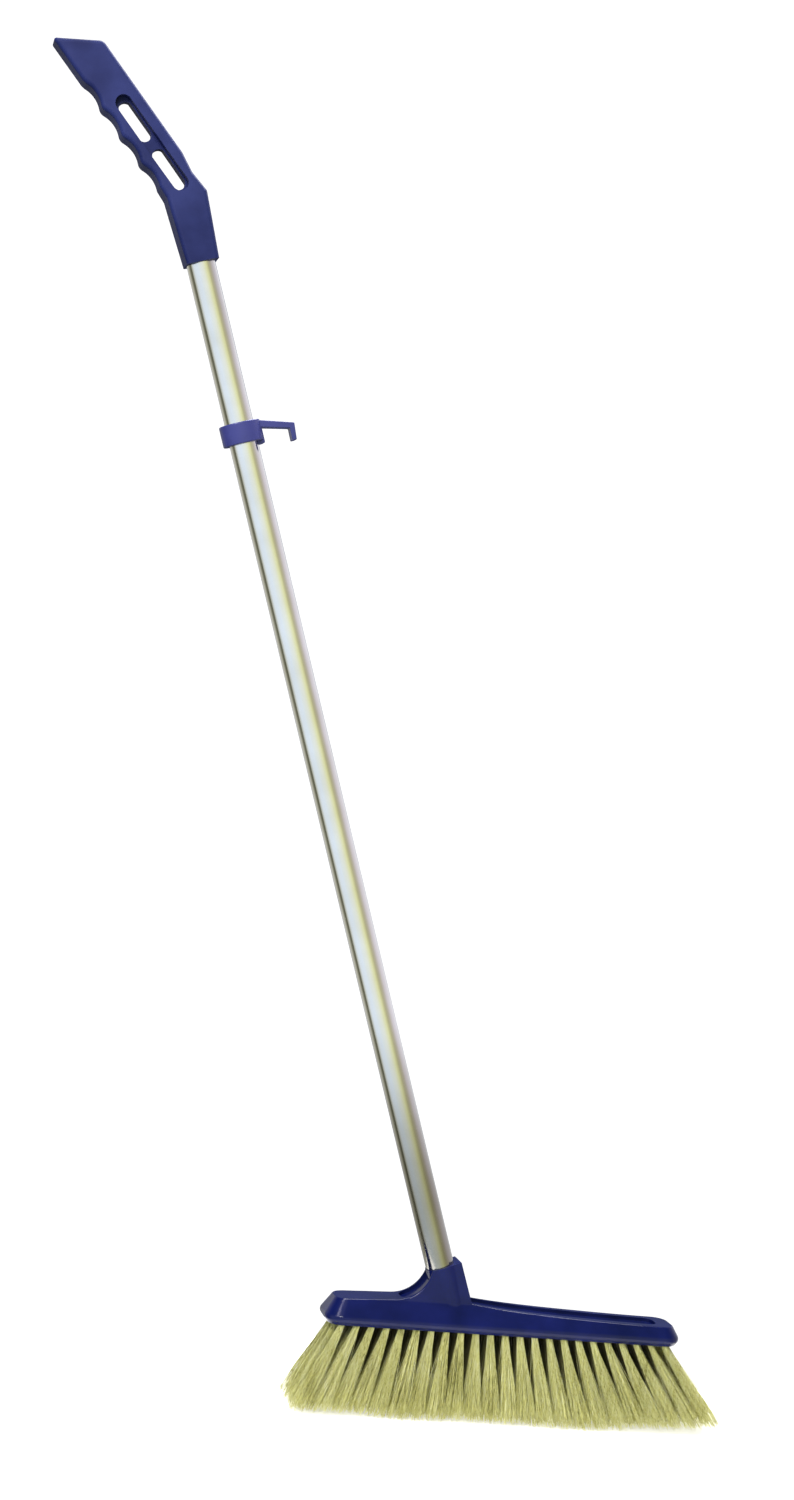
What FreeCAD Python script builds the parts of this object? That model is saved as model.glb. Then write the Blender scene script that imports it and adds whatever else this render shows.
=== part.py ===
import FreeCAD, Part
import math
import os

# A one-handed floor broom, in millimetres. The origin is on the flat bristle ends, under the middle of the
# head. +Z is up and +X runs along the head, away from the side the tube leans to. The tube, the hook and the
# grip all lie in the XZ plane.
#
# Tube coordinates: s runs up the tube's axis from the floor and n runs across it, to the right.
# Grip coordinates: u runs up the bent part of the grip from the bend and v runs across it, to the right.

V = FreeCAD.Vector
FAR = 400.0
SAME = 0.01
NEAR = 0.5

# ---- head ----
HEAD_LENGTH = 285.0
HEAD_MIDDLE_X = -1.2
HEAD_WIDTH = 47.0
HEAD_CORNER = 14.0
HEAD_BOTTOM_Z = 67.0
HEAD_WIDE_Z = 72.0
HEAD_BOTTOM_INSET = 4.0
HEAD_TAPER_Z = 88.0
HEAD_TAPER_IN_X = 9.5
HEAD_TAPER_IN_Y = 10.2
HEAD_TAPER_CORNER = 9.0
FOOT_ROUND = 1.2
HEAD_WAIST_ROUND = 4.0
HEAD_CREASE_ROUND = 6.0
WEB_TOP_Z = 126.0
WEB_TOP_HALF_WIDTH = 11.0
RIM_ROUND = 1.4

LEFT_END_TOP_Z = 84.8
RIGHT_ROOT_TOP_Z = 88.6
RIGHT_DIP_X = 52.0
RIGHT_DIP_Z = 83.2
RIGHT_TOP_Z = 81.6
RIGHT_SWEEP_PULL = 40.0
RIGHT_SWEEP_FALL = 5.0
TOP_OVERRUN = 160.0

CHANNEL_LEFT_X = -84.0
CHANNEL_RIGHT_X = 123.0
CHANNEL_HALF_WIDTH = 10.0
CHANNEL_CORNER = 7.0
CHANNEL_DEPTH = 2.5

# ---- socket ----
SOCKET_TOP_S = 121.6
SOCKET_RADIUS = 13.4
SOCKET_OFFSET_N = 1.8
SOCKET_FOOT_S = 84.0
SOCKET_FOOT_RADIUS = 14.4
SOCKET_BLEND = 3.0
SOCKET_SEAM_TOP_Z = 111.8
FILLET_TOP_N = -8.0
FILLET_RADIUS = 28.0
FILLET_END_SLOPE = 80.0
SOCKET_BORE_RADIUS = 11.1
SOCKET_BORE_FLOOR_S = 104.0

# ---- threaded nose of the plug ----
NOSE_END_S = 88.6
NOSE_CORE_RADIUS = 7.2
NOSE_RIDGE_RADIUS = 8.4
NOSE_RIDGE_PITCH = 4.0
NOSE_RIDGE_COUNT = 3
NOSE_RIDGE_FIRST_S = 92.4
NOSE_RIDGE_BASE = 2.2
NOSE_RIDGE_CREST = 0.9
NOSE_CLEARANCE = 0.1
NOSE_OVERLAP = 0.5

# ---- tube, plug and rivet ----
LEAN = 20.3
FOOT_X = -12.8
TUBE_RADIUS = 11.0
TUBE_WALL = 0.7
TUBE_BOTTOM_S = 104.2
TUBE_TOP_S = 954.0
PLUG_TOP_S = 142.0
PLUG_CLEARANCE = 0.05
PLUG_CHAMFER = 1.5
RIVET_S = 114.0
RIVET_RADIUS = 1.5
RIVET_CLEARANCE = 0.03
RIVET_SHORT_OF_TUBE = 0.1

# ---- tufts ----
COLUMNS = 23
COLUMN_PITCH = 11.65
ROW_ROOT_PITCH = 8.0
ROW_TIP_PITCH = 12.6
ROWS = (-2, -1, 0, 1, 2)
END_BOW = (0.0, 2.7, 3.7)
HOLE_RADIUS = 2.5
HOLE_TOP_Z = 77.0
ROOT_CLEARANCE = 0.06
ROOT_END_CLEARANCE = 0.1
TIP_LEFT_X = -161.0
TIP_RIGHT_X = 181.6
TUFT_GAP = 0.25
FLARE_MID_T = 0.48
FLARE_MID_SHARE = 0.88
SECTION_POINTS = 16
MID_SQUARENESS = 2.6
TIP_SQUARENESS = 4.5

ANCHOR_LENGTH = 5.5
ANCHOR_THICKNESS = 0.4
ANCHOR_HEIGHT = 1.8
ANCHOR_BOTTOM_Z = 74.6
ANCHOR_SLOT_CLEARANCE = 0.03

# ---- grip ----
BEND_ANGLE = 22.7
BEND_S = 960.1
SLEEVE_BOTTOM_S = 906.5
SLEEVE_KNEE_S = 957.0
SLEEVE_HALF_BOTTOM = 12.5
SLEEVE_HALF_TOP = 15.4
SLEEVE_SHIFT = 0.4
SLEEVE_BORE_RADIUS = 11.06
SLEEVE_BORE_TOP_S = 954.5
SLEEVE_DEPTH = 26.6
GRIP_DEPTH = 22.0
GRIP_HALF_WIDTH = 15.1
GRIP_EDGE_ROUND = 3.3
GRIP_CORNER_ROUNDS = (3.0, 3.0, 0, 0, 4.0, 8.0, 10.0, 6.0, 1.6, 12.0, 0)
THINNING_LOW_S = 938.0
THINNING_HIGH_S = 1000.0
GROOVE_COUNT = 4
GROOVE_PITCH = 24.3
GROOVE_TOP_U = 107.0
GROOVE_DEPTH = 2.7
GROOVE_PEAK_RADIUS = 7.0
NECK_S = 972.5
NECK_N = 8.2
NECK_END_U = 24.5
GRIP_TOP_RIGHT_U = 122.5
GRIP_TOP_LEFT_U = 145.3

SLOT_LOW_U = 0.6
SLOT_HIGH_U = 83.6
SLOT_HALF_WIDTH = 6.25
SLOT_WEB = 8.0
HOLE_HALF_WIDTH = 5.2
LOW_HOLE = (2.6, 37.1)
HIGH_HOLE = (45.4, 79.0)

# ---- hook clip ----
CLIP_BOTTOM_S = 768.4
CLIP_TOP_S = 784.3
CLIP_RADIUS = 15.6
CLIP_BORE_RADIUS = 11.06
CLIP_GAP = 11.0
CLIP_EDGE_ROUND = 0.9
HOOK_DEPTH = 12.0
HOOK_ROOT_N = 12.5
HOOK_TIP_N = 40.5
HOOK_TOP_S = 783.8
HOOK_TIP_S = 775.8
HOOK_THICKNESS = 4.6
HOOK_ROOT_THICKNESS = 5.6
HOOK_LEG_THICKNESS = 4.2
HOOK_LEG_BOTTOM_S = 762.8
HOOK_LEG_DRIFT = 1.1
HOOK_LEG_INNER_DRIFT = 0.2
HOOK_EDGE_ROUND = 0.7
PAD_LEFT_N = 9.0
PAD_RIGHT_N = 15.4
PAD_BOTTOM_S = 765.6
PAD_EDGE_ROUND = 1.2

os.makedirs("parts", exist_ok=True)


def save(name, shape):
    shape.exportStep("parts/%s.step" % name)


def on_tube(shape):
    """Places a shape drawn with n as X and s as Z onto the leaning tube axis."""
    placed = shape.copy()
    turn = FreeCAD.Rotation(V(0, 1, 0), -LEAN)
    placed.Placement = FreeCAD.Placement(V(FOOT_X, 0, 0), turn).multiply(placed.Placement)
    return placed


def tube_point(n, s):
    """World position of a point given in tube coordinates."""
    turn = FreeCAD.Rotation(V(0, 1, 0), -LEAN)
    return turn.multVec(V(n, 0, s)) + V(FOOT_X, 0, 0)


def grip_point(u, v):
    """A point given in grip coordinates, as a vector in tube coordinates."""
    turn = FreeCAD.Rotation(V(0, 1, 0), -BEND_ANGLE)
    return turn.multVec(V(v, 0, u)) + V(0, 0, BEND_S)


def cylinder(radius, low, high, n=0.0):
    """A round bar along the tube axis between two values of s."""
    return Part.makeCylinder(radius, high - low, V(n, 0, low))


def slab(points, half_depth):
    """Extrudes a closed XZ outline evenly to both sides of Y = 0."""
    wire = Part.makePolygon(points + [points[0]])
    face = Part.Face(wire)
    face.translate(V(0, -half_depth, 0))
    return face.extrude(V(0, 2 * half_depth, 0))


def rounded_rectangle(length, width, corner, z, x=0.0):
    """A flat rounded rectangle wire about (x, 0) at height z."""
    half_x = length / 2.0 - corner
    half_y = width / 2.0 - corner
    centres = [(half_x, half_y, 0), (-half_x, half_y, 90), (-half_x, -half_y, 180), (half_x, -half_y, 270)]
    edges = []
    last = None
    first = None
    for cx, cy, start in centres:
        circle = Part.Circle(V(x + cx, cy, z), V(0, 0, 1), corner)
        arc = Part.Arc(circle, math.radians(start), math.radians(start + 90)).toShape()
        begin = arc.valueAt(arc.FirstParameter)
        if last is not None:
            edges.append(Part.LineSegment(last, begin).toShape())
        else:
            first = begin
        edges.append(arc)
        last = arc.valueAt(arc.LastParameter)
    edges.append(Part.LineSegment(last, first).toShape())
    return Part.Wire(edges)


# ---- head ----

def head_section(inset_x, inset_y, corner, z):
    return rounded_rectangle(HEAD_LENGTH - 2 * inset_x, HEAD_WIDTH - 2 * inset_y, corner, z, HEAD_MIDDLE_X)


def socket_foot_right():
    """Where the right side of the socket meets the head's top."""
    top = tube_point(SOCKET_OFFSET_N + SOCKET_RADIUS, SOCKET_TOP_S)
    fall = top.z - RIGHT_ROOT_TOP_Z
    return V(top.x + fall * math.tan(math.radians(LEAN)), 0, RIGHT_ROOT_TOP_Z)


def top_face(drop, low_z):
    """Closed XZ face under the head's top line, lowered by drop. The line runs up a fillet to the socket."""
    corner = tube_point(FILLET_TOP_N, SOCKET_TOP_S)
    slope = math.radians(FILLET_END_SLOPE)
    centre = corner + V(-math.sin(slope), 0, math.cos(slope)) * FILLET_RADIUS
    radius = FILLET_RADIUS + drop
    bottom = centre + V(0, 0, -radius)
    middle = centre + V(math.sin(slope / 2), 0, -math.cos(slope / 2)) * radius
    end = centre + V(math.sin(slope), 0, -math.cos(slope)) * radius
    right_top = tube_point(SOCKET_OFFSET_N + SOCKET_RADIUS, SOCKET_TOP_S)
    right_foot = socket_foot_right() - V(0, 0, drop)
    dip = V(RIGHT_DIP_X, 0, RIGHT_DIP_Z - drop)
    flat = V(HEAD_MIDDLE_X + HEAD_LENGTH / 2 - HEAD_TAPER_IN_X, 0, RIGHT_TOP_Z - drop)
    sweep = Part.BSplineCurve()
    sweep.interpolate([right_foot, dip, flat],
                      InitialTangent=V(RIGHT_SWEEP_PULL, 0, -RIGHT_SWEEP_FALL),
                      FinalTangent=V(RIGHT_SWEEP_PULL, 0, 0))
    outer_left = V(-TOP_OVERRUN, 0, LEFT_END_TOP_Z - drop)
    outer_right = V(TOP_OVERRUN, 0, RIGHT_TOP_Z - drop)
    low_right = V(TOP_OVERRUN, 0, low_z)
    low_left = V(-TOP_OVERRUN, 0, low_z)
    edges = [Part.LineSegment(outer_left, bottom).toShape(),
             Part.Arc(bottom, middle, end).toShape(),
             Part.LineSegment(end, right_top).toShape(),
             Part.LineSegment(right_top, right_foot).toShape(),
             sweep.toShape(),
             Part.LineSegment(flat, outer_right).toShape(),
             Part.LineSegment(outer_right, low_right).toShape(),
             Part.LineSegment(low_right, low_left).toShape(),
             Part.LineSegment(low_left, outer_left).toShape()]
    return Part.Face(Part.Wire(edges))


def under_top(drop):
    """Everything under the head's top line, lowered by drop."""
    face = top_face(drop, 0)
    face.translate(V(0, -HEAD_WIDTH, 0))
    return face.extrude(V(0, 2 * HEAD_WIDTH, 0))


def nose(clearance):
    """The plug's nose, with the thread drawn as plain rings. Its socket is the same shape with clearance."""
    core = NOSE_CORE_RADIUS + clearance
    crest = NOSE_RIDGE_RADIUS + clearance
    top = SOCKET_BORE_FLOOR_S + NOSE_OVERLAP
    points = [V(0, 0, NOSE_END_S - clearance), V(core, 0, NOSE_END_S - clearance)]
    for ridge in range(NOSE_RIDGE_COUNT):
        middle = NOSE_RIDGE_FIRST_S + ridge * NOSE_RIDGE_PITCH
        points.append(V(core, 0, middle - NOSE_RIDGE_BASE / 2 - clearance))
        points.append(V(crest, 0, middle - NOSE_RIDGE_CREST / 2 - clearance))
        points.append(V(crest, 0, middle + NOSE_RIDGE_CREST / 2 + clearance))
        points.append(V(core, 0, middle + NOSE_RIDGE_BASE / 2 + clearance))
    points.append(V(core, 0, top))
    points.append(V(0, 0, top))
    face = Part.Face(Part.makePolygon(points + [points[0]]))
    return face.revolve(V(0, 0, 0), V(0, 0, 1), 360)


def lies_at(edge, z):
    return abs(edge.BoundBox.ZMin - z) < SAME and abs(edge.BoundBox.ZMax - z) < SAME


def head_blank():
    """The head without its socket: a rounded foot, walls that taper inwards and a steeper web above."""
    foot_corner = HEAD_CORNER - HEAD_BOTTOM_INSET
    foot = head_section(HEAD_BOTTOM_INSET, HEAD_BOTTOM_INSET, foot_corner, HEAD_BOTTOM_Z)
    widest = head_section(0, 0, HEAD_CORNER, HEAD_WIDE_Z)
    shoulder = head_section(HEAD_TAPER_IN_X, HEAD_TAPER_IN_Y, HEAD_TAPER_CORNER, HEAD_TAPER_Z)
    crown = head_section(HEAD_TAPER_IN_X, HEAD_WIDTH / 2 - WEB_TOP_HALF_WIDTH, HEAD_TAPER_CORNER, WEB_TOP_Z)
    stages = [Part.makeLoft(list(pair), True, True)
              for pair in ((foot, widest), (widest, shoulder), (shoulder, crown))]
    block = stages[0].fuse(stages[1:]).removeSplitter()
    block = block.makeFillet(HEAD_WAIST_ROUND, [e for e in block.Edges if lies_at(e, HEAD_WIDE_Z)])
    block = block.makeFillet(FOOT_ROUND, [e for e in block.Edges if lies_at(e, HEAD_BOTTOM_Z)])
    creases = [e for e in block.Edges if lies_at(e, HEAD_TAPER_Z) and e.BoundBox.XLength > HEAD_LENGTH / 2]
    block = block.makeFillet(HEAD_CREASE_ROUND, creases)
    return block.common(under_top(0)).Solids[0]


def rim_edges(block, low_x, high_x):
    """The edges round the top faces that lie between two values of X."""
    groups = {}
    for face in block.Faces:
        u_low, u_high, v_low, v_high = face.ParameterRange
        normal = face.normalAt((u_low + u_high) / 2, (v_low + v_high) / 2)
        box = face.BoundBox
        faces_up = abs(normal.y) < SAME and box.ZMin > RIGHT_TOP_Z - 1
        if faces_up and box.YLength > 2 * CHANNEL_HALF_WIDTH and low_x < box.XMin and box.XMax < high_x:
            for edge in face.Edges:
                groups.setdefault(edge.hashCode(), []).append(edge)
    single = [group[0] for group in groups.values() if len(group) == 1]
    return [edge for edge in single if edge.BoundBox.XMax > low_x + 2 and edge.BoundBox.XMin < high_x - 2]


def head_with_socket():
    block = head_blank()
    socket_left = tube_point(SOCKET_OFFSET_N - SOCKET_RADIUS, SOCKET_TOP_S).x
    socket_right = socket_foot_right().x
    block = block.makeFillet(RIM_ROUND, rim_edges(block, socket_right - 1, HEAD_LENGTH))
    block = block.makeFillet(RIM_ROUND, rim_edges(block, -HEAD_LENGTH, socket_left + 1))
    boss = Part.makeCone(SOCKET_FOOT_RADIUS, SOCKET_RADIUS, SOCKET_TOP_S - SOCKET_FOOT_S,
                         V(SOCKET_OFFSET_N, 0, SOCKET_FOOT_S))
    body = block.fuse([on_tube(boss)]).removeSplitter().Solids[0]
    seams = []
    for face in body.Faces:
        if "Cone" in face.Surface.TypeId and face.BoundBox.YLength < 2 * SOCKET_RADIUS:
            if min(abs(face.BoundBox.YMin), abs(face.BoundBox.YMax)) > WEB_TOP_HALF_WIDTH:
                seams += [e for e in face.Edges if e.BoundBox.ZMin < SOCKET_SEAM_TOP_Z]
    return body.makeFillet(SOCKET_BLEND, seams)


def head_block(holes):
    body = head_with_socket()
    trench = Part.Face(rounded_rectangle(CHANNEL_RIGHT_X - CHANNEL_LEFT_X, 2 * CHANNEL_HALF_WIDTH,
                                         CHANNEL_CORNER, HEAD_WIDE_Z, (CHANNEL_LEFT_X + CHANNEL_RIGHT_X) / 2))
    trench = trench.extrude(V(0, 0, FAR))
    trench = trench.cut(under_top(CHANNEL_DEPTH))
    trench = trench.cut(on_tube(cylinder(SOCKET_RADIUS, 0, FAR, SOCKET_OFFSET_N)))
    bore = cylinder(SOCKET_BORE_RADIUS, SOCKET_BORE_FLOOR_S, FAR)
    body = body.cut(trench)
    body = body.cut(on_tube(bore.fuse(nose(NOSE_CLEARANCE))))
    return body.cut(holes)


# ---- tufts ----

def root_position(column, row):
    """Where a tuft leaves the head. The end columns bow outwards with the rounded ends of the head."""
    x = HEAD_MIDDLE_X + (column - (COLUMNS - 1) / 2.0) * COLUMN_PITCH
    bow = END_BOW[2 - abs(row)]
    if column == 0:
        x -= bow
    if column == COLUMNS - 1:
        x += bow
    return V(x, row * ROW_ROOT_PITCH, HEAD_BOTTOM_Z)


def tip_position(column, row):
    pitch = (TIP_RIGHT_X - TIP_LEFT_X) / COLUMNS
    return V(TIP_LEFT_X + (column + 0.5) * pitch, row * ROW_TIP_PITCH, 0)


def tuft_section(centre, half_x, half_y, squareness):
    """A closed smooth outline between an ellipse (squareness 2) and a rectangle."""
    points = []
    for index in range(SECTION_POINTS):
        angle = 2 * math.pi * (index + 0.5) / SECTION_POINTS
        cosine = math.cos(angle)
        sine = math.sin(angle)
        x = half_x * math.copysign(abs(cosine) ** (2.0 / squareness), cosine)
        y = half_y * math.copysign(abs(sine) ** (2.0 / squareness), sine)
        points.append(centre + V(x, y, 0))
    curve = Part.BSplineCurve()
    curve.interpolate(points, PeriodicFlag=True)
    return Part.Wire([curve.toShape()])


def tuft(column, row):
    """A bundle: a round root in its hole, and a loft that flares to a nearly rectangular end on the floor."""
    root = root_position(column, row)
    tip = tip_position(column, row)
    radius = HOLE_RADIUS - ROOT_CLEARANCE
    tip_pitch = (TIP_RIGHT_X - TIP_LEFT_X) / COLUMNS
    middle = root + (tip - root) * FLARE_MID_T
    pitch_x = COLUMN_PITCH + (tip_pitch - COLUMN_PITCH) * FLARE_MID_T
    pitch_y = ROW_ROOT_PITCH + (ROW_TIP_PITCH - ROW_ROOT_PITCH) * FLARE_MID_T
    mouth = tuft_section(root, radius, radius, 2)
    waist = tuft_section(middle, pitch_x / 2 * FLARE_MID_SHARE, pitch_y / 2 * FLARE_MID_SHARE, MID_SQUARENESS)
    end = tuft_section(tip, (tip_pitch - TUFT_GAP) / 2, (ROW_TIP_PITCH - TUFT_GAP) / 2, TIP_SQUARENESS)
    flare = Part.makeLoft([mouth, waist, end], True, False)
    stem = Part.Face(mouth).extrude(V(0, 0, HOLE_TOP_Z - ROOT_END_CLEARANCE - HEAD_BOTTOM_Z))
    slot = Part.makeBox(4 * radius, ANCHOR_THICKNESS + 2 * ANCHOR_SLOT_CLEARANCE,
                        ANCHOR_HEIGHT + 2 * ANCHOR_SLOT_CLEARANCE,
                        V(root.x - 2 * radius, root.y - ANCHOR_THICKNESS / 2 - ANCHOR_SLOT_CLEARANCE,
                          ANCHOR_BOTTOM_Z - ANCHOR_SLOT_CLEARANCE))
    return flare.fuse(stem).cut(slot)


def anchor(column, row):
    root = root_position(column, row)
    return Part.makeBox(ANCHOR_LENGTH, ANCHOR_THICKNESS, ANCHOR_HEIGHT,
                        V(root.x - ANCHOR_LENGTH / 2, root.y - ANCHOR_THICKNESS / 2, ANCHOR_BOTTOM_Z))


def hole(column, row):
    root = root_position(column, row)
    return Part.makeCylinder(HOLE_RADIUS, HOLE_TOP_Z - HEAD_BOTTOM_Z + 5, root - V(0, 0, 5))


# ---- tube, plug, rivet ----

def rivet(radius, reach):
    bar = Part.makeCylinder(radius, 4 * TUBE_RADIUS, V(0, -2 * TUBE_RADIUS, RIVET_S), V(0, 1, 0))
    return bar.common(cylinder(reach, RIVET_S - 2 * radius, RIVET_S + 2 * radius))


def tube():
    wall = cylinder(TUBE_RADIUS, TUBE_BOTTOM_S, TUBE_TOP_S)
    wall = wall.cut(cylinder(TUBE_RADIUS - TUBE_WALL, TUBE_BOTTOM_S - 1, TUBE_TOP_S + 1))
    return wall.cut(rivet(RIVET_RADIUS + RIVET_CLEARANCE, 2 * TUBE_RADIUS))


def thread_plug():
    barrel = cylinder(TUBE_RADIUS - TUBE_WALL - PLUG_CLEARANCE, TUBE_BOTTOM_S, PLUG_TOP_S)
    top_edge = [e for e in barrel.Edges if lies_at(e, PLUG_TOP_S)]
    barrel = barrel.makeChamfer(PLUG_CHAMFER, top_edge)
    plug = barrel.fuse(nose(0.0)).removeSplitter()
    return plug.cut(rivet(RIVET_RADIUS + RIVET_CLEARANCE, 2 * TUBE_RADIUS))


# ---- grip ----

def groove_line():
    """The finger grooves down the grip's left edge as tangent arcs, with their first and last points."""
    peak_v = -GRIP_HALF_WIDTH
    half = GROOVE_PITCH / 2.0
    total = (half * half + GROOVE_DEPTH * GROOVE_DEPTH) / (2 * GROOVE_DEPTH)
    share = GROOVE_PEAK_RADIUS / total
    joint_u = half * share
    joint_v = peak_v + GROOVE_DEPTH * share
    hollow_v = peak_v + GROOVE_DEPTH
    edges = []
    for index in range(GROOVE_COUNT):
        peak_u = GROOVE_TOP_U - index * GROOVE_PITCH
        middle_u = peak_u - half
        next_u = peak_u - GROOVE_PITCH
        if index > 0:
            edges.append(Part.Arc(grip_point(peak_u + joint_u, joint_v), grip_point(peak_u, peak_v),
                                  grip_point(peak_u - joint_u, joint_v)).toShape())
        edges.append(Part.Arc(grip_point(peak_u - joint_u, joint_v), grip_point(middle_u, hollow_v),
                              grip_point(next_u + joint_u, joint_v)).toShape())
    start = grip_point(GROOVE_TOP_U - joint_u, joint_v)
    end = grip_point(GROOVE_TOP_U - GROOVE_COUNT * GROOVE_PITCH + joint_u, joint_v)
    return edges, start, end


def grip_corners(grooves_top, grooves_bottom):
    """The sharp corners of the grip's outline, from the lowest groove round to the top one."""
    half = GRIP_HALF_WIDTH
    return [grooves_bottom,
            V(SLEEVE_SHIFT - SLEEVE_HALF_TOP, 0, SLEEVE_KNEE_S),
            V(SLEEVE_SHIFT - SLEEVE_HALF_BOTTOM, 0, SLEEVE_BOTTOM_S),
            V(SLEEVE_SHIFT + SLEEVE_HALF_BOTTOM, 0, SLEEVE_BOTTOM_S),
            V(SLEEVE_SHIFT + SLEEVE_HALF_TOP, 0, SLEEVE_KNEE_S),
            V(NECK_N, 0, NECK_S),
            grip_point(NECK_END_U, half),
            grip_point(GRIP_TOP_RIGHT_U, half),
            grip_point(GRIP_TOP_LEFT_U, -half),
            grip_point(GROOVE_TOP_U, -half),
            grooves_top]


def grip_blank():
    """The grip's outline at full depth, with its corners rounded."""
    grooves, start, end = groove_line()
    corners = grip_corners(start, end)
    lines = [Part.LineSegment(a, b).toShape() for a, b in zip(corners[:-1], corners[1:])]
    face = Part.Face(Part.Wire(lines + grooves))
    face.translate(V(0, -SLEEVE_DEPTH, 0))
    body = face.extrude(V(0, 2 * SLEEVE_DEPTH, 0))
    for corner, radius in zip(corners, GRIP_CORNER_ROUNDS):
        if radius > 0:
            body = round_corner(body, corner, radius)
    return body


def side_view_solid():
    """The grip's side view, wide in X: full depth round the tube, easing to the thinner bent part."""
    half_deep = SLEEVE_DEPTH / 2
    half_thin = GRIP_DEPTH / 2
    reach = V(0, 0, THINNING_HIGH_S - THINNING_LOW_S)
    sides = []
    for sign in (-1, 1):
        low = V(0, sign * half_deep, 0)
        begin = V(0, sign * half_deep, THINNING_LOW_S)
        end = V(0, sign * half_thin, THINNING_HIGH_S)
        high = V(0, sign * half_thin, THINNING_HIGH_S + FAR)
        ease = Part.BSplineCurve()
        ease.interpolate([begin, end], InitialTangent=reach, FinalTangent=reach)
        sides.append((low, high, [Part.LineSegment(low, begin).toShape(), ease.toShape(),
                                  Part.LineSegment(end, high).toShape()]))
    (low_a, high_a, edges_a), (low_b, high_b, edges_b) = sides
    top = Part.LineSegment(high_a, high_b).toShape()
    bottom = Part.LineSegment(low_b, low_a).toShape()
    face = Part.Face(Part.Wire(edges_a + [top] + edges_b[::-1] + [bottom]))
    face.translate(V(-FAR, 0, 0))
    return face.extrude(V(2 * FAR, 0, 0))


def faces_front_and_back(body):
    faces = []
    for face in body.Faces:
        u_low, u_high, v_low, v_high = face.ParameterRange
        if abs(face.normalAt((u_low + u_high) / 2, (v_low + v_high) / 2).y) > 0.7:
            faces.append(face)
    return faces


def outline_edges(body):
    """The edges round the front and back faces, without the seams between those faces."""
    groups = {}
    for face in faces_front_and_back(body):
        for edge in face.Edges:
            groups.setdefault(edge.hashCode(), []).append(edge)
    single = [group[0] for group in groups.values() if len(group) == 1]
    return [edge for edge in single if edge.BoundBox.ZMax > SLEEVE_BOTTOM_S + NEAR]


def round_corner(body, corner, radius):
    """Rounds the edge that runs along Y through a corner of the outline."""
    edges = [edge for edge in body.Edges
             if edge.BoundBox.YLength > SLEEVE_DEPTH and abs(edge.CenterOfMass.x - corner.x) < NEAR
             and abs(edge.CenterOfMass.z - corner.z) < NEAR]
    return body.makeFillet(radius, edges)


def slot_prism(low_u, high_u, half_width, half_depth):
    """A long hole with round ends along the grip, through half_depth to both sides."""
    length = high_u - low_u
    wire = rounded_rectangle(length, 2 * half_width, half_width - SAME, 0)
    prism = Part.Face(wire).extrude(V(0, 0, 2 * half_depth))
    prism.translate(V(0, 0, -half_depth))
    prism.rotate(V(0, 0, 0), V(1, 0, 0), 90)
    prism.rotate(V(0, 0, 0), V(0, 1, 0), 90)
    prism.translate(V(0, 0, (low_u + high_u) / 2))
    prism.rotate(V(0, 0, 0), V(0, 1, 0), -BEND_ANGLE)
    prism.translate(V(0, 0, BEND_S))
    return prism


def grip():
    body = grip_blank().common(side_view_solid())
    body = body.makeFillet(GRIP_EDGE_ROUND, outline_edges(body))
    body = body.cut(cylinder(SLEEVE_BORE_RADIUS, SLEEVE_BOTTOM_S - 5, SLEEVE_BORE_TOP_S))
    pocket = slot_prism(SLOT_LOW_U, SLOT_HIGH_U, SLOT_HALF_WIDTH, SLEEVE_DEPTH)
    web = Part.makeBox(2 * FAR, SLOT_WEB, FAR, V(-FAR, -SLOT_WEB / 2, SLEEVE_BOTTOM_S))
    body = body.cut(pocket.cut(web))
    for low_u, high_u in (LOW_HOLE, HIGH_HOLE):
        body = body.cut(slot_prism(low_u, high_u, HOLE_HALF_WIDTH, SLEEVE_DEPTH))
    return body


# ---- hook clip ----

def hook_clip():
    ring = cylinder(CLIP_RADIUS, CLIP_BOTTOM_S, CLIP_TOP_S)
    ring = ring.makeFillet(CLIP_EDGE_ROUND, [e for e in ring.Edges if e.BoundBox.ZLength < SAME])
    top_slope = (HOOK_TIP_S - HOOK_TOP_S) / (HOOK_TIP_N - HOOK_ROOT_N)
    inner_n = HOOK_TIP_N - HOOK_LEG_THICKNESS
    inner_s = HOOK_TOP_S + (inner_n - HOOK_ROOT_N) * top_slope - HOOK_THICKNESS
    points = [V(HOOK_ROOT_N, 0, HOOK_TOP_S), V(HOOK_TIP_N, 0, HOOK_TIP_S),
              V(HOOK_TIP_N - HOOK_LEG_DRIFT, 0, HOOK_LEG_BOTTOM_S),
              V(inner_n - HOOK_LEG_INNER_DRIFT, 0, HOOK_LEG_BOTTOM_S),
              V(inner_n, 0, inner_s), V(HOOK_ROOT_N, 0, HOOK_TOP_S - HOOK_ROOT_THICKNESS)]
    hook = slab(points, HOOK_DEPTH / 2)
    hook = hook.makeFillet(HOOK_EDGE_ROUND, hook.Edges)
    pad = Part.makeBox(PAD_RIGHT_N - PAD_LEFT_N, HOOK_DEPTH, HOOK_TOP_S - HOOK_THICKNESS - PAD_BOTTOM_S,
                       V(PAD_LEFT_N, -HOOK_DEPTH / 2, PAD_BOTTOM_S))
    pad = pad.makeFillet(PAD_EDGE_ROUND, pad.Edges)
    body = ring.fuse([hook, pad])
    body = body.cut(cylinder(CLIP_BORE_RADIUS, 0, 2 * CLIP_TOP_S))
    gap = Part.makeBox(CLIP_GAP, FAR, FAR, V(-CLIP_GAP / 2, 0, CLIP_BOTTOM_S - FAR / 2))
    return body.cut(gap)


places = [(column, row) for column in range(COLUMNS) for row in ROWS]
hole_group = Part.makeCompound([hole(column, row) for column, row in places])

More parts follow.
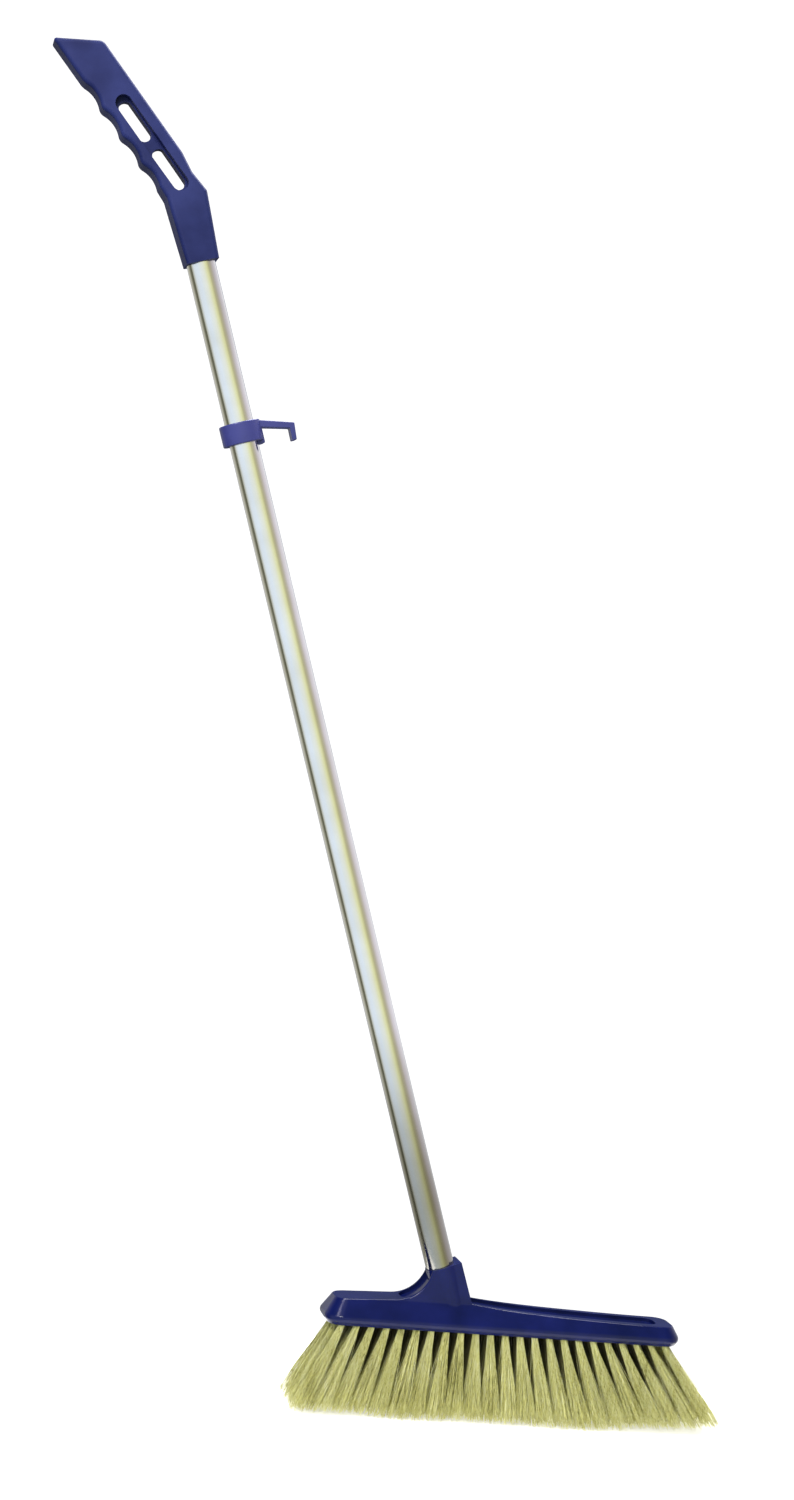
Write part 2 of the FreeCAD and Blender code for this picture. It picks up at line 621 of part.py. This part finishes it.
save("head_block", head_block(hole_group))
for column in range(COLUMNS):
    save("tufts_%02d" % (column + 1), Part.makeCompound([tuft(column, row) for row in ROWS]))
save("tuft_anchors", Part.makeCompound([anchor(column, row) for column, row in places]))
save("thread_plug", on_tube(thread_plug()))
save("plug_rivet", on_tube(rivet(RIVET_RADIUS, TUBE_RADIUS - RIVET_SHORT_OF_TUBE)))
save("tube", on_tube(tube()))
save("grip", on_tube(grip()))
save("hook_clip", on_tube(hook_clip()))
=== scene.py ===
import math

import bpy
import numpy as np
from mathutils import Matrix, Vector


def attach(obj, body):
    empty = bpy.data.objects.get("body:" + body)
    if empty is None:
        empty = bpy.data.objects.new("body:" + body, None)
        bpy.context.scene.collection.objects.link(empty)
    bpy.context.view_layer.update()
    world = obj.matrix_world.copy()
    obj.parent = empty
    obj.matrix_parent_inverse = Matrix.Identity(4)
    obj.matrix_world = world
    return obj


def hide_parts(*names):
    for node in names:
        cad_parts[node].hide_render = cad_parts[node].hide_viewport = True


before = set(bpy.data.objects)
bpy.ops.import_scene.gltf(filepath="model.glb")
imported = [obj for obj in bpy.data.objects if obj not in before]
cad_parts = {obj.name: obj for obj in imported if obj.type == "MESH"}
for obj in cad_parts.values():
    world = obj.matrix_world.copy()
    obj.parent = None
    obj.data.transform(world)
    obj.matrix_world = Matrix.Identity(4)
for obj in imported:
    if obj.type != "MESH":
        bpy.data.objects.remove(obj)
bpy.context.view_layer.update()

# Metres, watts and degrees, in the frame of the CAD part:
# origin on the bristle ends, +Z up, +X along the head.

# ---- bristles: where the tufts start and end ----
SEED = 7
COLUMNS = 23
ROWS = (-2, -1, 0, 1, 2)
COLUMN_PITCH = 0.01165
HEAD_MIDDLE_X = -0.0012
ROW_ROOT_PITCH = 0.008
ROW_TIP_PITCH = 0.0126
# How far the end tufts of a row step outwards: in the outer rows, the next rows and the middle row.
END_BOW = (0.0, 0.0027, 0.0037)
ROOT_Z = 0.067
ROOT_BURIED = 0.0015
ROOT_RADIUS = 0.0023
TIP_LEFT_X = -0.165
TIP_RIGHT_X = 0.178

# ---- bristles: the tip edge ----
END_RISE_LEFT = 0.0015
END_RISE_RIGHT = 0.0075
END_RISE_FROM = 0.06
TIP_WAVE_LENGTH = 0.125
TIP_WAVE_START = 1.9
TIP_WAVE_RISE = 0.0016
# Each filament ends up to TIP_RAISE above the edge, and each whole tuft up to a share of that.
TIP_RAISE = 0.0026
TUFT_RAISE_SHARE = 0.4
TUFT_RAISE_BY_COLUMN = 0.9
TUFT_RAISE_START = 0.6
TUFT_RAISE_BY_ROW = 1.3
TUFT_RAISE_TWIST = 0.35

# ---- bristles: filaments ----
FILAMENTS = 130
FILAMENT_RADIUS = 0.00021
FILAMENT_RINGS = 7
FILAMENT_SIDES = 3
FILAMENT_LOW_SHARE = 0.82
FILAMENT_END_SHARE = 0.45
# A tuft is round at its root. At its tips it is partly square, and fills TIP_OVERLAP of its cell.
TIP_SQUARENESS = 0.65
TIP_OVERLAP = 1.0
STRAY_SHARE = 0.07
STRAY_REACH = 0.0038
FLARE_STRAIGHT_SHARE = 0.88
CURL = 0.0011
END_CURL_SHARE = 0.6
END_CURL_POWER = 4

# ---- bristles: colour ----
FIBRE_STRETCH = (1, 1, 0.02)
FIBRE_SCALE = 900.0
CLUMP_STRETCH = (1, 1, 0.2)
CLUMP_SCALE = 70.0
CLUMP_SHARE = 0.35
FIBRE_TONES = (
    (0.47, (0.34, 0.32, 0.10)),
    (0.56, (0.66, 0.64, 0.23)),
    (0.69, (0.84, 0.83, 0.35)),
    (0.82, (0.93, 0.93, 0.58)),
)
FIBRE_ROUGHNESS = (0.38, 0.6)
FIBRE_GLOSS = 0.35
FIBRE_TRANSLUCENT_SHARE = 0.3
# The inner tufts carry painted shade, darker near the head: inside these distances from the middle and
# above this height, fading over each pair.
INNER_ROWS_Y = (0.010, 0.0145)
INNER_COLUMNS_X = (0.118, 0.132)
SHADED_Z = (0.004, 0.042)
SHADED_COLOUR = (0.120, 0.108, 0.035)

# ---- plastics ----
CLOUD_SCALE = 28.0
CLOUD_SPAN = (0.35, 0.65)
RIPPLE_SCALE = 55.0
RIPPLE_STRENGTH = 0.25
RIPPLE_DEPTH = 0.0006
GRAIN_STRENGTH = 0.35
# Node, material name, dark and light colour, roughness from and to,
# grain scale, grain depth and specular level.
PLASTICS = (
    ("head_block", "navy_gloss", (0.002, 0.005, 0.044), (0.005, 0.009, 0.078),
     (0.12, 0.20), 900.0, 0.00002, 0.25),
    ("grip", "blue_satin", (0.006, 0.010, 0.062), (0.016, 0.023, 0.106),
     (0.50, 0.62), 1100.0, 0.00016, 0.14),
    ("hook_clip", "navy_clip", (0.020, 0.024, 0.115), (0.036, 0.040, 0.180),
     (0.30, 0.42), 1800.0, 0.00006, 0.35),
    ("thread_plug", "dark_plug", (0.020, 0.020, 0.022), (0.030, 0.030, 0.032),
     (0.35, 0.50), 1800.0, 0.00004, 0.30),
)

# ---- metals ----
TUBE_LEAN = 20.3
DRAWN_STRETCH = 0.012
DRAWN_SCALE = 1400.0
DRAWN_STRENGTH = 0.12
DRAWN_DEPTH = 0.00004
TUBE_PATCH_SCALE = 35.0
TUBE_TONES = ((0.3, (0.82, 0.815, 0.79)), (0.7, (0.90, 0.905, 0.91)))
TUBE_ROUGHNESS = (0.10, 0.19)
# The tube's lowest part has a darker colour, a painted dimmer reflection, fading to full brightness between
# these heights.
PAINTED_REFLECTION_Z = (0.16, 0.32)
PAINTED_REFLECTION_TONES = ((0.0, (0.44, 0.43, 0.39)), (1.0, (1.0, 1.0, 1.0)))
STEEL_SCALE = 400.0
STEEL_TONES = ((0.3, (0.42, 0.42, 0.42)), (0.7, (0.58, 0.58, 0.57)))
STEEL_ROUGHNESS = (0.25, 0.45)

# ---- camera ----
CAMERA_TARGET = Vector((-0.1352, 0.0, 0.5051))
CAMERA_DISTANCE = 1.9
CAMERA_AZIMUTH = math.radians(-12.0)
CAMERA_ROLL = math.radians(6.6)
CAMERA_LENS = 59.6
CAMERA_SENSOR = 36.0

# ---- studio ----
FLOOR_RADIUS = 0.24
FLOOR_SIDES = 96
FLOOR_TONES = ((0.3, (0.90, 0.90, 0.90)), (0.7, (0.92, 0.92, 0.92)))
FLOOR_CLOUD_SCALE = 2.0
FLOOR_ROUGHNESS = 0.9
FLOOR_GLOSS = 0.1
FLOOR_GLOW = 0.6
# What the camera sees behind the broom. Reflections and light come from the panels instead.
BACKDROP = (1.10, 1.10, 1.10)
# Panels round the broom: degrees from the camera's side, negative to its left, and a colour.
PANELS = (
    (-166, (0.15, 0.17, 0.25)),
    (-158, (0.62, 0.62, 0.60)),
    (-121, (0.50, 0.49, 0.40)),
    (-101, (0.16, 0.16, 0.11)),
    (-86, (0.10, 0.10, 0.06)),
    (-76, (0.55, 0.56, 0.48)),
    (-60, (0.78, 0.86, 0.93)),
    (-30, (0.80, 0.90, 1.00)),
    (10, (0.86, 0.90, 0.80)),
    (32, (0.84, 0.86, 0.52)),
    (44, (0.74, 0.74, 0.40)),
    (56, (0.50, 0.48, 0.28)),
    (74, (0.52, 0.48, 0.38)),
    (100, (0.72, 0.67, 0.72)),
    (158, (0.90, 0.90, 0.95)),
    (166, (0.15, 0.17, 0.25)),
)
# Brightness of the panels by height of the direction (its Z part).
LEVELS = (
    (-0.80, 0.50),
    (-0.55, 1.0),
    (0.40, 1.0),
    (0.65, 0.30),
)
# Name, place, point aimed at, side of the square, power and colour.
LIGHTS = (
    ("overhead", (0.1, 0.35, 1.7), (0.0, 0.1, 0.0), 1.0, 34.0, (1.0, 1.0, 1.0)),
    ("key", (-0.8, -2.1, 2.2), (0.0, 0.0, 0.2), 0.7, 41.0, (1.0, 0.99, 0.96)),
    ("left_high", (-0.95, -0.80, 1.37), (-0.1, 0.0, 0.09), 0.42, 12.0, (0.88, 0.84, 1.0)),
)


# ---- material helpers ----

def new_material(name):
    material = bpy.data.materials.new(name)
    material.use_nodes = True
    nodes = material.node_tree.nodes
    return material, nodes, material.node_tree.links, nodes["Principled BSDF"]


def coordinates(nodes, links, scale=(1, 1, 1), turn=(0.0, 0.0, 0.0), kind="Object"):
    """Coordinates stretched and turned, for noise that follows the shape of a piece."""
    source = nodes.new("ShaderNodeTexCoord")
    mapping = nodes.new("ShaderNodeMapping")
    mapping.inputs["Scale"].default_value = scale
    mapping.inputs["Rotation"].default_value = turn
    links.new(source.outputs[kind], mapping.inputs["Vector"])
    return mapping.outputs["Vector"]


def coordinate_parts(nodes, links, kind="Object"):
    source = nodes.new("ShaderNodeTexCoord")
    parts = nodes.new("ShaderNodeSeparateXYZ")
    links.new(source.outputs[kind], parts.inputs["Vector"])
    return parts.outputs


def noise(nodes, links, vector, scale, detail=3.0, roughness=0.5):
    texture = nodes.new("ShaderNodeTexNoise")
    texture.inputs["Scale"].default_value = scale
    texture.inputs["Detail"].default_value = detail
    texture.inputs["Roughness"].default_value = roughness
    links.new(vector, texture.inputs["Vector"])
    return texture.outputs["Fac"]


def ramp(nodes, links, factor, stops):
    node = nodes.new("ShaderNodeValToRGB")
    elements = node.color_ramp.elements
    while len(elements) < len(stops):
        elements.new(0.5)
    for element, (position, colour) in zip(elements, stops):
        element.position = position
        element.color = (*colour, 1.0)
    links.new(factor, node.inputs["Fac"])
    return node.outputs["Color"]


def spread(nodes, links, factor, low, high):
    """A factor of 0 to 1 stretched from low to high."""
    node = nodes.new("ShaderNodeMapRange")
    node.inputs["To Min"].default_value = low
    node.inputs["To Max"].default_value = high
    links.new(factor, node.inputs["Value"])
    return node.outputs["Result"]


def fade(nodes, links, value, start, end):
    """A smooth step from 0 where value is start to 1 where it is end."""
    node = nodes.new("ShaderNodeMapRange")
    node.interpolation_type = "SMOOTHSTEP"
    node.inputs["From Min"].default_value = start
    node.inputs["From Max"].default_value = end
    links.new(value, node.inputs["Value"])
    return node.outputs["Result"]


def combine(nodes, links, operation, *values):
    node = nodes.new("ShaderNodeMath")
    node.operation = operation
    for socket, value in zip(node.inputs, values):
        links.new(value, socket)
    return node.outputs["Value"]


def multiply_colours(nodes, links, first, second):
    node = nodes.new("ShaderNodeMix")
    node.data_type = "RGBA"
    node.blend_type = "MULTIPLY"
    node.inputs["Factor"].default_value = 1.0
    links.new(first, node.inputs["A"])
    links.new(second, node.inputs["B"])
    return node.outputs["Result"]


def towards_colour(nodes, links, factor, first, colour):
    node = nodes.new("ShaderNodeMix")
    node.data_type = "RGBA"
    links.new(factor, node.inputs["Factor"])
    links.new(first, node.inputs["A"])
    node.inputs["B"].default_value = (*colour, 1.0)
    return node.outputs["Result"]


def bump(nodes, links, height, strength, distance, under=None):
    node = nodes.new("ShaderNodeBump")
    node.inputs["Strength"].default_value = strength
    node.inputs["Distance"].default_value = distance
    links.new(height, node.inputs["Height"])
    if under is not None:
        links.new(under, node.inputs["Normal"])
    return node.outputs["Normal"]


# ---- materials ----

def moulded_plastic(name, dark, light, roughness, grain, grain_depth, gloss):
    """Injection-moulded plastic: faint cloudy colour, a soft ripple and fine surface grain."""
    material, nodes, links, shader = new_material(name)
    place = coordinates(nodes, links)
    cloud = noise(nodes, links, place, CLOUD_SCALE, detail=4.0)
    fine = noise(nodes, links, place, grain, detail=5.0, roughness=0.6)
    ripple = noise(nodes, links, place, RIPPLE_SCALE, detail=1.0)
    tones = tuple(zip(CLOUD_SPAN, (dark, light)))
    links.new(ramp(nodes, links, cloud, tones), shader.inputs["Base Color"])
    links.new(spread(nodes, links, fine, *roughness), shader.inputs["Roughness"])
    soft = bump(nodes, links, ripple, RIPPLE_STRENGTH, RIPPLE_DEPTH)
    links.new(bump(nodes, links, fine, GRAIN_STRENGTH, grain_depth, soft), shader.inputs["Normal"])
    shader.inputs["Specular IOR Level"].default_value = gloss
    return material


def plated_tube():
    """Bright plated tube: nearly a mirror, with faint drawing lines, small patches and a darker foot, a
    painted dimmer reflection.
    """
    material, nodes, links, shader = new_material("plated_tube")
    along = coordinates(nodes, links, (1.0, 1.0, DRAWN_STRETCH), (0.0, math.radians(TUBE_LEAN), 0.0))
    lines = noise(nodes, links, along, DRAWN_SCALE, detail=2.0)
    patches = noise(nodes, links, coordinates(nodes, links), TUBE_PATCH_SCALE, detail=4.0)
    tone = ramp(nodes, links, patches, TUBE_TONES)
    # Painted reflection: the base colour darkens towards the bottom of the tube.
    brightness = fade(nodes, links, coordinate_parts(nodes, links)["Z"], *PAINTED_REFLECTION_Z)
    painted_reflection_dimming = ramp(nodes, links, brightness, PAINTED_REFLECTION_TONES)
    links.new(multiply_colours(nodes, links, tone, painted_reflection_dimming), shader.inputs["Base Color"])
    links.new(spread(nodes, links, patches, *TUBE_ROUGHNESS), shader.inputs["Roughness"])
    links.new(bump(nodes, links, lines, DRAWN_STRENGTH, DRAWN_DEPTH), shader.inputs["Normal"])
    shader.inputs["Metallic"].default_value = 1.0
    return material


def steel():
    material, nodes, links, shader = new_material("plain_steel")
    mottle = noise(nodes, links, coordinates(nodes, links), STEEL_SCALE, detail=4.0)
    links.new(ramp(nodes, links, mottle, STEEL_TONES), shader.inputs["Base Color"])
    links.new(spread(nodes, links, mottle, *STEEL_ROUGHNESS), shader.inputs["Roughness"])
    shader.inputs["Metallic"].default_value = 1.0
    return material


def inner_tufts_painted_shade(nodes, links, tone):
    """Painted shade: darkens the upper part of the inner tufts, standing in for the shade that falls deep
    in the gaps between the outer tufts.
    """
    parts = coordinate_parts(nodes, links)
    across = combine(nodes, links, "ABSOLUTE", parts["Y"])
    along = combine(nodes, links, "ABSOLUTE", parts["X"])
    inside_y = fade(nodes, links, across, INNER_ROWS_Y[1], INNER_ROWS_Y[0])
    inside_x = fade(nodes, links, along, INNER_COLUMNS_X[1], INNER_COLUMNS_X[0])
    high = fade(nodes, links, parts["Z"], *SHADED_Z)
    inside = combine(nodes, links, "MULTIPLY", inside_y, inside_x)
    share = combine(nodes, links, "MULTIPLY", inside, high)
    return towards_colour(nodes, links, share, tone, SHADED_COLOUR)


def bristle_fibre():
    """Pale yellow fibre that lets some light through, with streaks and clumps of colour."""
    material, nodes, links, shader = new_material("bristle_fibre")
    along = coordinates(nodes, links, FIBRE_STRETCH)
    strand = noise(nodes, links, along, FIBRE_SCALE, detail=2.0, roughness=0.7)
    clump = noise(nodes, links, coordinates(nodes, links, CLUMP_STRETCH), CLUMP_SCALE, detail=2.0)
    mixed = nodes.new("ShaderNodeMath")
    mixed.operation = "MULTIPLY_ADD"
    links.new(clump, mixed.inputs[0])
    mixed.inputs[1].default_value = CLUMP_SHARE
    links.new(strand, mixed.inputs[2])
    tone = ramp(nodes, links, mixed.outputs["Value"], FIBRE_TONES)
    # Painted shade on the inner tufts near the head.
    tone = inner_tufts_painted_shade(nodes, links, tone)
    links.new(tone, shader.inputs["Base Color"])
    links.new(spread(nodes, links, strand, *FIBRE_ROUGHNESS), shader.inputs["Roughness"])
    shader.inputs["Specular IOR Level"].default_value = FIBRE_GLOSS
    through = nodes.new("ShaderNodeBsdfTranslucent")
    links.new(tone, through.inputs["Color"])
    both = nodes.new("ShaderNodeMixShader")
    both.inputs["Fac"].default_value = FIBRE_TRANSLUCENT_SHARE
    links.new(shader.outputs["BSDF"], both.inputs[1])
    links.new(through.outputs["BSDF"], both.inputs[2])
    links.new(both.outputs["Shader"], nodes["Material Output"].inputs["Surface"])
    return material


def pale_floor():
    """Pale floor with a glow of its own, so that it stays white round the broom."""
    material, nodes, links, shader = new_material("pale_floor")
    cloud = noise(nodes, links, coordinates(nodes, links), FLOOR_CLOUD_SCALE, detail=2.0)
    links.new(ramp(nodes, links, cloud, FLOOR_TONES), shader.inputs["Base Color"])
    shader.inputs["Roughness"].default_value = FLOOR_ROUGHNESS
    shader.inputs["Specular IOR Level"].default_value = FLOOR_GLOSS
    shader.inputs["Emission Color"].default_value = (1.0, 1.0, 1.0, 1.0)
    shader.inputs["Emission Strength"].default_value = FLOOR_GLOW
    return material


def dress(node, material):
    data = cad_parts[node].data
    data.materials.clear()
    data.materials.append(material)


def dress_cad_nodes():
    for node, *look in PLASTICS:
        dress(node, moulded_plastic(*look))
    dress("tube", plated_tube())
    steel_material = steel()
    dress("plug_rivet", steel_material)
    dress("tuft_anchors", steel_material)


# ---- bristles ----

def root_of(column, row):
    x = HEAD_MIDDLE_X + (column - (COLUMNS - 1) / 2) * COLUMN_PITCH
    bow = END_BOW[max(ROWS) - abs(row)]
    if column == 0:
        x -= bow
    if column == COLUMNS - 1:
        x += bow
    return np.array([x, row * ROW_ROOT_PITCH, ROOT_Z + ROOT_BURIED])


def tip_of(column, row):
    pitch = (TIP_RIGHT_X - TIP_LEFT_X) / COLUMNS
    return np.array([TIP_LEFT_X + (column + 0.5) * pitch, row * ROW_TIP_PITCH, 0.0])


def edge_rise(x):
    """How far the tips lift off the floor: where the outer tufts fan out, and in a slow wave."""
    left = np.clip((-x - END_RISE_FROM) / (-TIP_LEFT_X - END_RISE_FROM), 0, None)
    right = np.clip((x - END_RISE_FROM) / (TIP_RIGHT_X - END_RISE_FROM), 0, None)
    wave = 0.5 + 0.5 * np.sin(x / TIP_WAVE_LENGTH * 2 * math.pi + TIP_WAVE_START)
    return END_RISE_LEFT * left ** 2 + END_RISE_RIGHT * right ** 2 + TIP_WAVE_RISE * wave


def tuft_rise(column, row):
    """How far one whole tuft ends above its neighbours, as a share of 0 to 1."""
    by_column = math.sin(column * TUFT_RAISE_BY_COLUMN + TUFT_RAISE_START)
    by_row = math.cos(row * TUFT_RAISE_BY_ROW + column * TUFT_RAISE_TWIST)
    return 0.5 + 0.5 * by_column * by_row


def tuft_paths(random, column, row):
    """Centre lines of one tuft's filaments, as an array of filament, ring, XYZ."""
    angle = random.uniform(0, 2 * math.pi, FILAMENTS)
    reach = np.sqrt(random.uniform(0, 1, FILAMENTS))
    disc = np.stack([reach * np.cos(angle), reach * np.sin(angle)], axis=1)
    square = disc / np.maximum(np.abs(disc).max(axis=1), 1e-6)[:, None] * reach[:, None]
    spread_tip = (1 - TIP_SQUARENESS) * disc + TIP_SQUARENESS * square
    half = np.array([(TIP_RIGHT_X - TIP_LEFT_X) / COLUMNS, ROW_TIP_PITCH]) / 2 * TIP_OVERLAP
    root = root_of(column, row)
    tip = tip_of(column, row)

    low = np.zeros((FILAMENTS, 3))
    low[:, :2] = tip[:2] + spread_tip * half
    stray = random.uniform(0, 1, FILAMENTS) < STRAY_SHARE
    low[:, :2] += stray[:, None] * random.normal(0, STRAY_REACH, (FILAMENTS, 2))
    low[:, 2] = random.uniform(0, 1, FILAMENTS) ** 2 * TIP_RAISE
    low[:, 2] += tuft_rise(column, row) * TIP_RAISE * TUFT_RAISE_SHARE
    low[:, 2] += edge_rise(low[:, 0])

    high = np.zeros((FILAMENTS, 3))
    high[:, :2] = root[:2] + disc * ROOT_RADIUS
    high[:, 2] = root[2]

    t = np.linspace(0, 1, FILAMENT_RINGS)[None, :, None]
    flare = FLARE_STRAIGHT_SHARE * t + (1 - FLARE_STRAIGHT_SHARE) * t * t * (3 - 2 * t)
    path = high[:, None, :] * (1 - t) + low[:, None, :] * t
    path[:, :, :2] = high[:, None, :2] * (1 - flare) + low[:, None, :2] * flare
    sway = random.normal(0, CURL, (FILAMENTS, 1, 2))
    path[:, :, :2] += sway * np.sin(math.pi * t) * t
    end_curl = random.normal(0, CURL * END_CURL_SHARE, (FILAMENTS, 1, 2))
    path[:, :, :2] += end_curl * t ** END_CURL_POWER
    return path


def filament_mesh(name, paths):
    """One mesh of thin filaments that follow the paths, narrow at their ends and are closed at the tips."""
    count, rings, _ = paths.shape
    turn = np.arange(FILAMENT_SIDES) * 2 * math.pi / FILAMENT_SIDES
    ring = np.stack([np.cos(turn), np.sin(turn), np.zeros(FILAMENT_SIDES)], axis=1)
    taper = np.linspace(1.0, FILAMENT_LOW_SHARE, rings)
    taper[-1] = FILAMENT_END_SHARE
    points = paths[:, :, None, :] + ring[None, None] * (FILAMENT_RADIUS * taper)[None, :, None, None]
    points = points.reshape(-1, 3)

    quad = []
    for level in range(rings - 1):
        for side in range(FILAMENT_SIDES):
            after = (side + 1) % FILAMENT_SIDES
            above = level * FILAMENT_SIDES
            below = above + FILAMENT_SIDES
            quad.append((above + side, below + side, below + after, above + after))
    cap = np.arange(FILAMENT_SIDES) + (rings - 1) * FILAMENT_SIDES
    offsets = np.arange(count) * rings * FILAMENT_SIDES
    quads = (np.array(quad)[None] + offsets[:, None, None]).reshape(-1, 4)
    caps = (cap[None] + offsets[:, None])[:, ::-1]
    corners = np.concatenate([quads.ravel(), caps.ravel()])
    quad_starts = np.arange(len(quads)) * 4
    cap_starts = len(quads) * 4 + np.arange(len(caps)) * FILAMENT_SIDES
    starts = np.concatenate([quad_starts, cap_starts])

    mesh = bpy.data.meshes.new(name)
    mesh.vertices.add(len(points))
    mesh.vertices.foreach_set("co", points.ravel())
    mesh.loops.add(len(corners))
    mesh.loops.foreach_set("vertex_index", corners.astype(np.int32))
    mesh.polygons.add(len(starts))
    mesh.polygons.foreach_set("loop_start", starts.astype(np.int32))
    mesh.update(calc_edges=True)
    mesh.shade_smooth()
    return mesh


def add_bristles(material):
    random = np.random.default_rng(SEED)
    for column in range(COLUMNS):
        node = "tufts_%02d" % (column + 1)
        paths = np.concatenate([tuft_paths(random, column, row) for row in ROWS])
        mesh = filament_mesh("bristles_%02d" % (column + 1), paths)
        mesh.materials.append(material)
        piece = bpy.data.objects.new(mesh.name, mesh)
        bpy.context.scene.collection.objects.link(piece)
        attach(piece, "broom")
        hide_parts(node)


# ---- studio ----

def add_floor():
    """A round floor, small enough that in the main view the tube mirrors the panels and not the floor."""
    mesh = bpy.data.meshes.new("floor")
    rim = []
    for step in range(FLOOR_SIDES):
        angle = 2 * math.pi * step / FLOOR_SIDES
        rim.append((FLOOR_RADIUS * math.cos(angle), FLOOR_RADIUS * math.sin(angle), 0.0))
    mesh.from_pydata(rim, [], [tuple(range(FLOOR_SIDES))])
    floor = bpy.data.objects.new("floor", mesh)
    mesh.materials.append(pale_floor())
    bpy.context.scene.collection.objects.link(floor)


def add_area_light(name, place, aim, side, power, colour):
    data = bpy.data.lights.new(name, "AREA")
    data.shape = "RECTANGLE"
    data.size = side
    data.size_y = side
    data.energy = power
    data.color = colour
    light = bpy.data.objects.new(name, data)
    light.location = place
    light.rotation_mode = "QUATERNION"
    light.rotation_quaternion = (Vector(aim) - Vector(place)).to_track_quat("-Z", "Y")
    bpy.context.scene.collection.objects.link(light)


def add_world():
    """A white backdrop, and soft tinted panels that light the broom and show in its gloss."""
    world = bpy.data.worlds.new("studio")
    bpy.context.scene.world = world
    world.use_nodes = True
    nodes = world.node_tree.nodes
    links = world.node_tree.links
    turn = (0.0, 0.0, math.pi / 2 - CAMERA_AZIMUTH)
    direction = coordinates(nodes, links, turn=turn, kind="Generated")
    around = nodes.new("ShaderNodeTexGradient")
    around.gradient_type = "RADIAL"
    links.new(direction, around.inputs["Vector"])
    stops = [(0.5 + degrees / 360.0, colour) for degrees, colour in PANELS]
    panels = ramp(nodes, links, around.outputs["Fac"], stops)
    lift = nodes.new("ShaderNodeMapRange")
    lift.inputs["From Min"].default_value = -1.0
    links.new(coordinate_parts(nodes, links, "Generated")["Z"], lift.inputs["Value"])
    levels = [(0.5 + rise / 2.0, (level, level, level)) for rise, level in LEVELS]
    dimming = ramp(nodes, links, lift.outputs["Result"], levels)
    surroundings = multiply_colours(nodes, links, panels, dimming)
    path = nodes.new("ShaderNodeLightPath")
    seen = towards_colour(nodes, links, path.outputs["Is Camera Ray"], surroundings, BACKDROP)
    background = nodes["Background"]
    links.new(seen, background.inputs["Color"])
    background.inputs["Strength"].default_value = 1.0


def add_camera():
    back = Vector((math.sin(CAMERA_AZIMUTH), -math.cos(CAMERA_AZIMUTH), 0.0))
    level = Vector((math.cos(CAMERA_AZIMUTH), math.sin(CAMERA_AZIMUTH), 0.0))
    right = level * math.cos(CAMERA_ROLL) + Vector((0, 0, 1)) * math.sin(CAMERA_ROLL)
    up = Vector((0, 0, 1)) * math.cos(CAMERA_ROLL) - level * math.sin(CAMERA_ROLL)
    data = bpy.data.cameras.new("camera")
    data.lens = CAMERA_LENS
    data.sensor_width = CAMERA_SENSOR
    camera = bpy.data.objects.new("camera", data)
    place = CAMERA_TARGET + back * CAMERA_DISTANCE
    turn = Matrix((right, up, back)).transposed().to_4x4()
    camera.matrix_world = Matrix.Translation(place) @ turn
    bpy.context.scene.collection.objects.link(camera)
    bpy.context.scene.camera = camera


dress_cad_nodes()
add_bristles(bristle_fibre())
add_floor()
add_world()
for light in LIGHTS:
    add_area_light(*light)
add_camera()
bpy.context.scene.view_settings.view_transform = "Standard"
